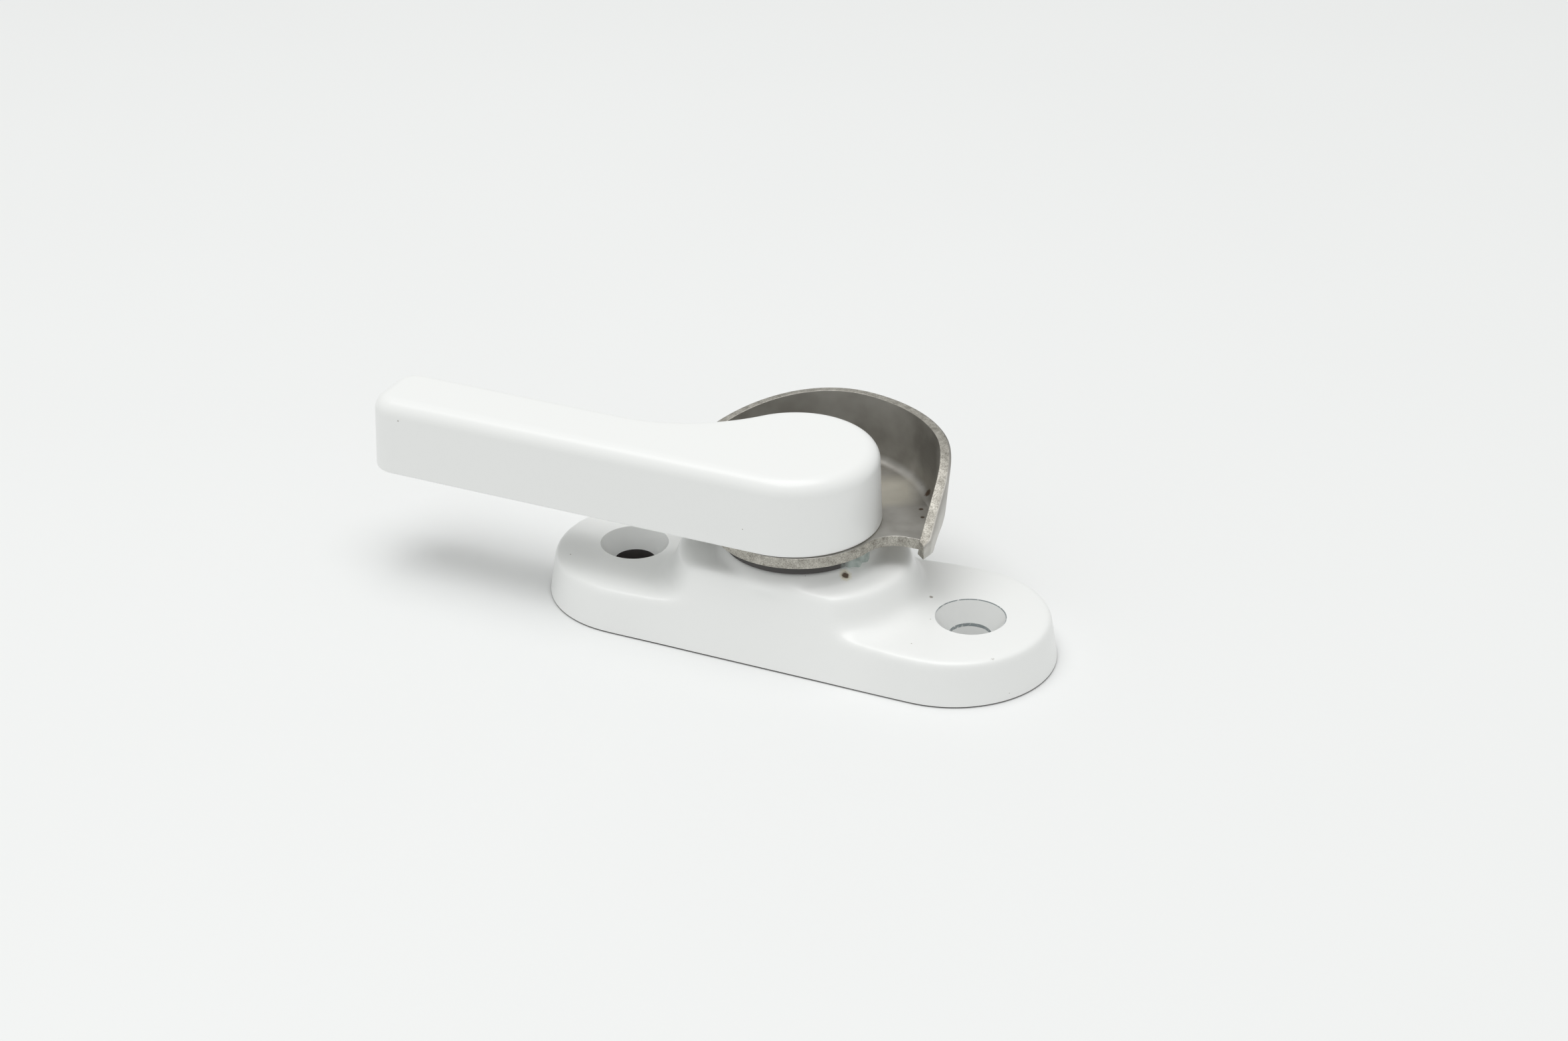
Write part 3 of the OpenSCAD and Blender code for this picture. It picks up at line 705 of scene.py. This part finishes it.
def inner_space_cutter(sizes):
    """Cutter for the space under the roof where the detent works."""
    tan = math.tan(sizes.lean)
    end_x = sizes.hump_length / 2 - sizes.hump_end
    end = sizes.hump_end - sizes.wall - (sizes.roof - sizes.flange) * tan
    half_width = sizes.width / 2 - sizes.roof * tan - sizes.wall
    plan = [(x + sizes.hump_shift, y) for x, y in bowed(end_x, end, half_width, WIDE_STEPS)]
    space = loft("inner_space", plan, [(0, -MM), (0, sizes.roof)])
    above = sizes.roof + MM
    near = sizes.stop_near
    for side in (-1, 1):
        front, back = sorted((side * sizes.stop_inner, side * sizes.width / 2))
        block = [(near, front), (near + sizes.stop, front), (near + sizes.stop, back), (near, back)]
        stop = loft("stop", block, [(0, sizes.stop_foot), (0, above)])
        combine(space, stop, "DIFFERENCE")
    post = loft("post", arc((sizes.post_x, 0), sizes.post, -QUARTER, QUARTER, WIDE_STEPS),
                [(0, sizes.post_foot), (0, above)])
    combine(space, post, "DIFFERENCE")
    return space


class SASHLOCK_OT_base(bpy.types.Operator):
    """Cast base: one smooth casting with its screw holes, inner space and bore cut into it"""
    bl_idname = "sashlock.base"
    bl_label = "Base"

    def execute(self, context):
        sizes = context.scene.sash_lock_base
        base = cast_block(sizes)
        base.name = "base_casting"
        base.data.name = "base_casting"
        combine(base, inner_space_cutter(sizes), "DIFFERENCE")
        bore = loft("bore", circle((0, 0), BUSH_HIGH.x), [(0, sizes.roof - MM), (0, BASE_HIGH.z + MM)])
        combine(base, bore, "DIFFERENCE")
        for side in (-1, 1):
            x = side * SCREWS["spacing_x_mm"] / 2 * MM
            combine(base, screw_hole_cutter(sizes, x), "DIFFERENCE")
        smooth(base, CRISP)
        dress(base, "base", "base_housing", "painted_zinc",
              base_paint(sizes, context.scene.sash_lock_colours))
        return {"FINISHED"}


def blend_centre(sizes):
    """Centre of the round between the arm's back and the hub."""
    hub = sizes.hub / 2
    y = sizes.arm - hub + sizes.blend
    return sizes.hub_shift - math.sqrt((hub + sizes.blend) ** 2 - y ** 2), y


def lever_outline(sizes):
    """Plan of the lever: a round hub, a blended back and an arm with two round corners."""
    hub = sizes.hub / 2
    front = -hub
    back = front + sizes.arm
    blend_x, blend_y = blend_centre(sizes)
    meet = math.atan2(blend_y, blend_x - sizes.hub_shift)
    tip_x = LEVER_LOW.x + sizes.tip
    outline = arc((sizes.hub_shift, 0), hub, -QUARTER, meet, TURN_STEPS)
    outline += arc((blend_x, blend_y), sizes.blend, meet + math.pi, 3 * QUARTER, WIDE_STEPS)[1:]
    outline += arc((tip_x, back - sizes.tip), sizes.tip, QUARTER, 2 * QUARTER, CORNER_STEPS)
    return outline + arc((tip_x, front + sizes.tip), sizes.tip, 2 * QUARTER, 3 * QUARTER, CORNER_STEPS)


def square_cutter(width):
    """Cutter for the spindle's square, through the hook's plate and up into the lever."""
    half = width / 2
    return loft("square", [(half, -half), (half, half), (-half, half), (-half, -half)],
                [(0, HOOK_LOW.z - MM), (0, SPINDLE_HIGH.z)])


def arm_hollow_cutter(sizes):
    """Cutter for the hollow under the arm."""
    corner = sizes.wall + sizes.hollow
    front = -sizes.hub / 2 + corner
    back = -sizes.hub / 2 + sizes.arm - corner
    left = LEVER_LOW.x + corner
    right = blend_centre(sizes)[0] - corner
    corners = ((right, front, -1), (right, back, 0), (left, back, 1), (left, front, 2))
    outline = [p for x, y, turn in corners
               for p in arc((x, y), sizes.hollow, turn * QUARTER, (turn + 1) * QUARTER, FILLET_STEPS)]
    return loft("arm_hollow", outline, [(0, LEVER_LOW.z - MM), (0, LEVER_HIGH.z - sizes.skin)])


class SASHLOCK_OT_lever(bpy.types.Operator):
    """Cast lever: a plan drawn up through its leaning, rounded side, hollow under the arm"""
    bl_idname = "sashlock.lever"
    bl_label = "Lever"

    def execute(self, context):
        sizes = context.scene.sash_lock_lever
        floor = LEVER_LOW.z
        top = LEVER_HIGH.z - floor
        side = [(0, sizes.foot_edge)] + rounded_side(top, sizes.edge, sizes.lean, EDGE_STEPS)
        profile = [(inset, floor + height) for inset, height in side]
        profile.append((profile[-1][0] + FLAT_RING, LEVER_HIGH.z))
        lever = loft("lever_casting", lever_outline(sizes), profile)
        edit_chosen(lever, "FACE", points_down)
        turns = evenly(0, QUARTER, FOOT_STEPS)
        for last, turn in zip(turns, turns[1:]):
            inset = sizes.foot_edge * (math.cos(last) - math.cos(turn))
            drop = sizes.foot_edge * (math.sin(turn) - math.sin(last))
            bpy.ops.mesh.inset(thickness=inset, depth=drop)
        bpy.ops.mesh.inset(thickness=FOOT_RING, depth=0)
        bpy.ops.object.mode_set(mode="OBJECT")
        combine(lever, arm_hollow_cutter(sizes), "DIFFERENCE")
        combine(lever, square_cutter(sizes.square), "DIFFERENCE")
        smooth(lever, CRISP)
        apply_modifier(lever, "WEIGHTED_NORMAL", keep_sharp=True)
        dress(lever, "lever", "lever_handle", "painted_zinc", lever_paint(context.scene.sash_lock_colours))
        return {"FINISHED"}


def rim_height(sizes, turn):
    """Height of the hook's rim above its plate at an angle about the wall's centre."""
    lead = math.sin(QUARTER * min(1, max(0, turn - sizes.start) / sizes.lead_ramp))
    trail = math.sin(QUARTER * min(1, max(0, sizes.end - turn) / sizes.trail_ramp))
    return sizes.low + (sizes.tall - sizes.low) * lead * trail


def eased(sizes, turn):
    """How far the wall stands outwards at an angle."""
    return sizes.ease * max(0, 1 - (turn - sizes.start) / sizes.ease_turn) ** 2


def straight_share(sizes, turn):
    """How much of the fold is straightened at an angle, from all at the leading end to none."""
    bare = max(0, 1 - (turn - sizes.start) / sizes.foot_turn)
    return bare * bare * (3 - 2 * bare)


def hook_wall(sizes):
    """Inner face of the wall: its section drawn by extruding a corner, spun, and its rim shaped."""
    floor = LEVER_LOW.z
    lean = sizes.lean
    fold_x = sizes.wall + sizes.fold * math.tan(lean) - sizes.fold / math.cos(lean)
    section = arc((fold_x, floor + sizes.fold), sizes.fold, -QUARTER, -lean, FOLD_STEPS)
    bend_x, bend_top = section[-1]
    rise = floor + sizes.tall - bend_top
    section.append((bend_x + rise * math.tan(lean), floor + sizes.tall))
    ray = Vector((*polar(1, sizes.start), 0))
    centre = Vector((sizes.shift_x, sizes.shift_y, 0))
    points = [centre + ray * r + Vector((0, 0, z)) for r, z in section]
    bpy.ops.mesh.primitive_plane_add(size=MM)
    wall = bpy.context.object
    wall.name = "hook_sheet"
    wall.data.name = "hook_sheet"
    bpy.ops.object.mode_set(mode="EDIT")
    bpy.ops.mesh.select_mode(type="VERT")
    bpy.ops.mesh.select_all(action="SELECT")
    bpy.ops.mesh.merge(type="CENTER")
    bpy.ops.transform.translate(value=points[0])
    for last, point in zip(points, points[1:]):
        bpy.ops.mesh.extrude_region_move(TRANSFORM_OT_translate={"value": point - last})
    bpy.ops.mesh.select_all(action="SELECT")
    bpy.ops.mesh.spin(steps=WALL_STEPS, angle=sizes.end - sizes.start, center=centre, axis=(0, 0, -1))
    bpy.ops.object.mode_set(mode="OBJECT")
    for corner in wall.data.vertices:
        out = corner.co - centre
        turn = math.atan2(out.y, out.x)
        if turn < sizes.start - END_TURN:
            turn += 2 * math.pi
        radius = Vector((out.x, out.y)).length
        height = out.z
        if height > bend_top + TINY:
            lower = floor + rim_height(sizes, turn)
            radius += (lower - height) * math.tan(lean)
            height = lower
        else:
            share = straight_share(sizes, turn)
            sweep = math.asin(max(-1, min(1, (height - floor) / sizes.fold - 1)))
            round_part = (-lean - sweep) / (QUARTER - lean)
            drop = sizes.rim_room + round_part * (bend_top - floor + sizes.sheet - sizes.rim_room)
            radius += share * (bend_x - drop * math.tan(lean) - radius)
            height += share * (bend_top - drop - height)
        radius += eased(sizes, turn)
        corner.co = centre + Vector((*polar(radius, turn), height))
    return wall, fold_x, bend_x


def fold_reach(sizes, fold_x, bend_x, turn):
    """Distance of the plate's edge from the wall's centre: on the fold, or inside the straight foot."""
    share = straight_share(sizes, turn)
    lapped = share * (bend_x - fold_x) + sizes.lap if share > 0 else 0
    return fold_x + eased(sizes, turn) + lapped


def plate_outline(sizes, fold_x, bend_x):
    """Plan of the hook's plate: the fold's line, two edges with fillets, and the round front."""
    round_part = sizes.plate / 2
    reach = round_part + sizes.fillet
    swing = math.asin(sizes.fillet / reach)
    turns = [a for a in evenly(sizes.start, sizes.end, WALL_STEPS)
             if sizes.start + sizes.setback <= a <= sizes.end - sizes.setback]
    spokes = [polar(fold_reach(sizes, fold_x, bend_x, a), a) for a in turns]
    fold_line = [(sizes.shift_x + x, sizes.shift_y + y) for x, y in spokes]
    lead = math.atan2(fold_line[0][1], fold_line[0][0])
    trail = math.atan2(fold_line[-1][1], fold_line[-1][0])
    trail_fillet = arc(polar(reach, trail + swing), sizes.fillet, trail - QUARTER, trail + swing - math.pi,
                       EDGE_STEPS)
    front = arc((0, 0), round_part, trail + swing, lead - swing + 2 * math.pi, TURN_STEPS)[1:-1]
    lead_fillet = arc(polar(reach, lead - swing), sizes.fillet, lead - swing + math.pi, lead + QUARTER,
                      EDGE_STEPS)
    return fold_line + trail_fillet + front + lead_fillet


def draw_out_end(piece, sizes, count):
    """Slants the wall's leading end: its outer corners, which follow the inner ones, are turned on, and
    its foot is lifted."""
    centre = Vector((sizes.shift_x, sizes.shift_y, 0))
    corners = piece.data.vertices
    run = Quaternion((0, 0, 1), -sizes.end_run / sizes.wall)
    for inner, outer in zip(corners[:count], corners[count:]):
        out = inner.co - centre
        past = math.atan2(out.y, out.x) - sizes.start
        if math.hypot(out.x, out.y) < sizes.wall - sizes.sheet or not -END_TURN < past < sizes.setback:
            continue
        if past < END_TURN:
            outer.co = centre + run @ (outer.co - centre)
        for corner in (inner, outer):
            below = max(0, LEVER_LOW.z - corner.co.z) / sizes.sheet
            corner.co.z += sizes.end_lift * below * (1 - past / sizes.setback)


def burnish_rim(piece, sizes):
    """Rolls the outer edge of the wall's rim over, as the die leaves it."""
    centre = Vector((sizes.shift_x, sizes.shift_y, 0))
    mesh = piece.data
    outer = set()
    rim = set()
    for face in mesh.polygons:
        away = face.center - centre
        away.z = 0
        if face.material_index == 1 and face.center.z > LEVER_LOW.z:
            rim.update(face.edge_keys)
        elif face.normal.dot(away.normalized()) > OUTWARDS:
            outer.update(face.edge_keys)

    def rolled(edge):
        first, second = (mesh.vertices[i].co - centre for i in edge.vertices)
        turn = math.atan2(first.y + second.y, first.x + second.x)
        roomy = straight_share(sizes, turn) > 0 or rim_height(sizes, turn) > sizes.fold + 2 * sizes.burnish
        return edge.key in rim and edge.key in outer and roomy

    edit_chosen(piece, "EDGE", rolled)
    bpy.ops.mesh.bevel(offset=sizes.burnish, segments=2, affect="EDGES", material=0)
    bpy.ops.object.mode_set(mode="OBJECT")


class SASHLOCK_OT_hook(bpy.types.Operator):
    """Stamped hook: a flat plate and a folded wall in one sheet, with a sheared rim"""
    bl_idname = "sashlock.hook"
    bl_label = "Hook"

    def execute(self, context):
        sizes = context.scene.sash_lock_hook
        colours = context.scene.sash_lock_colours
        hook, fold_x, bend_x = hook_wall(sizes)
        plate = flat_piece("plate", plate_outline(sizes, fold_x, bend_x), LEVER_LOW.z)
        join(hook, plate)
        bpy.ops.object.mode_set(mode="EDIT")
        bpy.ops.mesh.select_all(action="SELECT")
        bpy.ops.mesh.remove_doubles(threshold=MERGE)
        bpy.ops.mesh.normals_make_consistent(inside=False)
        bpy.ops.object.mode_set(mode="OBJECT")
        widest = max(hook.data.polygons, key=lambda face: face.area)
        if widest.normal.z < 0:
            hook.data.flip_normals()
        for material in (satin_stainless(sizes, colours), sheared_edge(colours)):
            hook.data.materials.append(material)
        count = len(hook.data.vertices)
        apply_modifier(hook, "SOLIDIFY", thickness=sizes.sheet, offset=-1, use_even_offset=True,
                       material_offset_rim=1)
        draw_out_end(hook, sizes, count)
        burnish_rim(hook, sizes)
        combine(hook, square_cutter(context.scene.sash_lock_lever.square), "DIFFERENCE")
        smooth(hook, SHEET_CRISP)
        apply_modifier(hook, "BEVEL", width=sizes.edge, segments=2, limit_method="ANGLE",
                       angle_limit=sizes.edge_angle)
        dress(hook, "lever", "crescent_hook", "stainless_sheet")
        return {"FINISHED"}


class SASHLOCK_OT_washer(bpy.types.Operator):
    """Friction washer: a soft ring squeezed between hook and base, with a torn lip that hangs from it"""
    bl_idname = "sashlock.washer"
    bl_label = "Friction washer"

    def execute(self, context):
        sizes = context.scene.sash_lock_washer
        draw = random.Random(TEAR_SEED)
        tears = [draw.uniform(SHORTEST_TEAR, 1.0) for _ in range(sizes.tears + 1)]
        radius = WASHER_HIGH.x
        washer = loft("friction_ring", circle((0, 0), radius, RIM_STEPS),
                      [(0, WASHER_LOW.z), (0, WASHER_HIGH.z)])
        edit_chosen(washer, "FACE", points_down)
        bpy.ops.mesh.inset(thickness=sizes.lip_root, depth=0)
        bpy.ops.object.mode_set(mode="OBJECT")
        for corner in washer.data.vertices:
            x, y, z = corner.co
            off = (math.atan2(y, x) - sizes.lip_turn) / sizes.lip_spread
            edge = math.hypot(x, y) > radius - sizes.lip_root / 2
            if edge and z < WASHER_HIGH.z - TINY and abs(off) < 1:
                along = (off + 1) / 2 * sizes.tears
                tear = int(along)
                ragged = tears[tear] + (tears[tear + 1] - tears[tear]) * (along - tear)
                hang = math.sqrt(1 - off * off) * ragged
                out = 1 + sizes.lip_reach * hang / radius
                corner.co = (x * out, y * out, z - sizes.lip_drop * hang)
        bore = loft("bore", circle((0, 0), SPINDLE_HIGH.x + sizes.running_fit),
                    [(0, WASHER_LOW.z - MM), (0, WASHER_HIGH.z + MM)])
        combine(washer, bore, "DIFFERENCE")
        smooth(washer, CRISP)
        dress(washer, "base", "friction_washer", "pale_nylon",
              natural_nylon(sizes, context.scene.sash_lock_colours))
        return {"FINISHED"}


class SASHLOCK_OT_inside(bpy.types.Operator):
    """Finishes of the inner pieces, which keep their shapes from the frame"""
    bl_idname = "sashlock.inside"
    bl_label = "Inner pieces"

    def execute(self, context):
        colours = context.scene.sash_lock_colours
        zinc = turned_metal("zinc_plated_steel", colours.plate, colour("#9A9B9C"),
                            roughness=0.32, ring_mm=0.4)
        sprung = turned_metal("oiled_spring_steel", colours.spring, colour("#3D3D40"),
                              roughness=0.4, ring_mm=0.6)
        brass = turned_metal("turned_brass", colours.brass, colour("#8D7440"), roughness=0.35, ring_mm=0.3)
        finishes = {"pivot_bush": brass, "thrust_washer": zinc, "wave_washer": sprung,
                    "detent_spring": sprung, "pivot_spindle": zinc, "detent_cam": zinc,
                    "stop_plate": zinc, "lock_washer": sprung, "retaining_screw": zinc}
        for node, material in finishes.items():
            mesh = frame["nodes"][node].data
            mesh.materials.clear()
            mesh.materials.append(material)
        return {"FINISHED"}


# Stage

CAMERA_TARGET = Vector((-12.57, 22.65, 0)) * MM
CAMERA_DISTANCE = 422.17 * MM
CAMERA_AZIMUTH = math.radians(24.97)
CAMERA_ELEVATION = math.radians(28.36)
CAMERA_ROLL = math.radians(-0.34)
CAMERA_LENS_MM = 73.08
CAMERA_NEAR = 10 * MM
SENSOR_MM = 36.0

# Floor and light of the stage, in metres and watts
FLOOR_SIZE = 6.0
WORLD_COLOUR = "#FAFBF9"
WORLD_LIGHT = 0.58
KEY_PLACE = Vector((-0.06, -0.09, 1.0))
KEY_SIZE = 0.8
KEY_POWER = 5.7
VIEW = "Standard"


class SASHLOCK_OT_stage(bpy.types.Operator):
    """Pale floor, soft studio light and the camera"""
    bl_idname = "sashlock.stage"
    bl_label = "Stage"

    def execute(self, context):
        scene = context.scene
        bpy.ops.mesh.primitive_plane_add(size=FLOOR_SIZE)
        floor = context.object
        floor.name = "floor"
        floor.data.materials.append(table_laminate(scene.sash_lock_colours))
        world = bpy.data.worlds.new("studio")
        world.use_nodes = True
        backdrop = world.node_tree.nodes["Background"]
        backdrop.inputs["Color"].default_value = colour(WORLD_COLOUR)
        backdrop.inputs["Strength"].default_value = WORLD_LIGHT
        scene.world = world
        bpy.ops.object.light_add(type="AREA", location=KEY_PLACE)
        light = context.object
        light.name = "overhead"
        light.data.size = KEY_SIZE
        light.data.energy = KEY_POWER
        light.rotation_mode = "QUATERNION"
        light.rotation_quaternion = (-KEY_PLACE).to_track_quat("-Z", "Y")
        scene.view_settings.view_transform = VIEW
        back = Vector((math.sin(CAMERA_AZIMUTH) * math.cos(CAMERA_ELEVATION),
                       -math.cos(CAMERA_AZIMUTH) * math.cos(CAMERA_ELEVATION), math.sin(CAMERA_ELEVATION)))
        bpy.ops.object.camera_add(location=CAMERA_TARGET + CAMERA_DISTANCE * back)
        camera = context.object
        camera.rotation_mode = "QUATERNION"
        level = (-back).to_track_quat("-Z", "Y")
        camera.rotation_quaternion = level @ Quaternion((0, 0, 1), CAMERA_ROLL)
        camera.data.lens = CAMERA_LENS_MM
        camera.data.sensor_width = SENSOR_MM
        camera.data.clip_start = CAMERA_NEAR
        scene.camera = camera
        return {"FINISHED"}


class SASHLOCK_PT_panel(bpy.types.Panel):
    """Pieces of the lock"""
    bl_idname = "SASHLOCK_PT_panel"
    bl_label = "Sash Lock"
    bl_space_type = "VIEW_3D"
    bl_region_type = "UI"
    bl_category = "Sash Lock"

    def draw(self, context):
        for operator in OPERATORS:
            self.layout.operator(operator.bl_idname)


GROUPS = {"sash_lock_base": BaseSizes, "sash_lock_lever": LeverSizes, "sash_lock_hook": HookSizes,
          "sash_lock_washer": WasherSizes, "sash_lock_colours": FinishColours}
OPERATORS = (SASHLOCK_OT_base, SASHLOCK_OT_lever, SASHLOCK_OT_hook, SASHLOCK_OT_washer, SASHLOCK_OT_inside,
             SASHLOCK_OT_stage)


def register():
    for name, group in GROUPS.items():
        bpy.utils.register_class(group)
        setattr(bpy.types.Scene, name, PointerProperty(type=group))
    for item in (*OPERATORS, SASHLOCK_PT_panel):
        bpy.utils.register_class(item)


def unregister():
    for item in (SASHLOCK_PT_panel, *reversed(OPERATORS)):
        bpy.utils.unregister_class(item)
    for name, group in GROUPS.items():
        delattr(bpy.types.Scene, name)
        bpy.utils.unregister_class(group)


def main():
    register()
    bpy.ops.sashlock.base()
    bpy.ops.sashlock.lever()
    bpy.ops.sashlock.hook()
    bpy.ops.sashlock.washer()
    bpy.ops.sashlock.inside()
    bpy.ops.sashlock.stage()


if __name__ == "__main__":
    main()
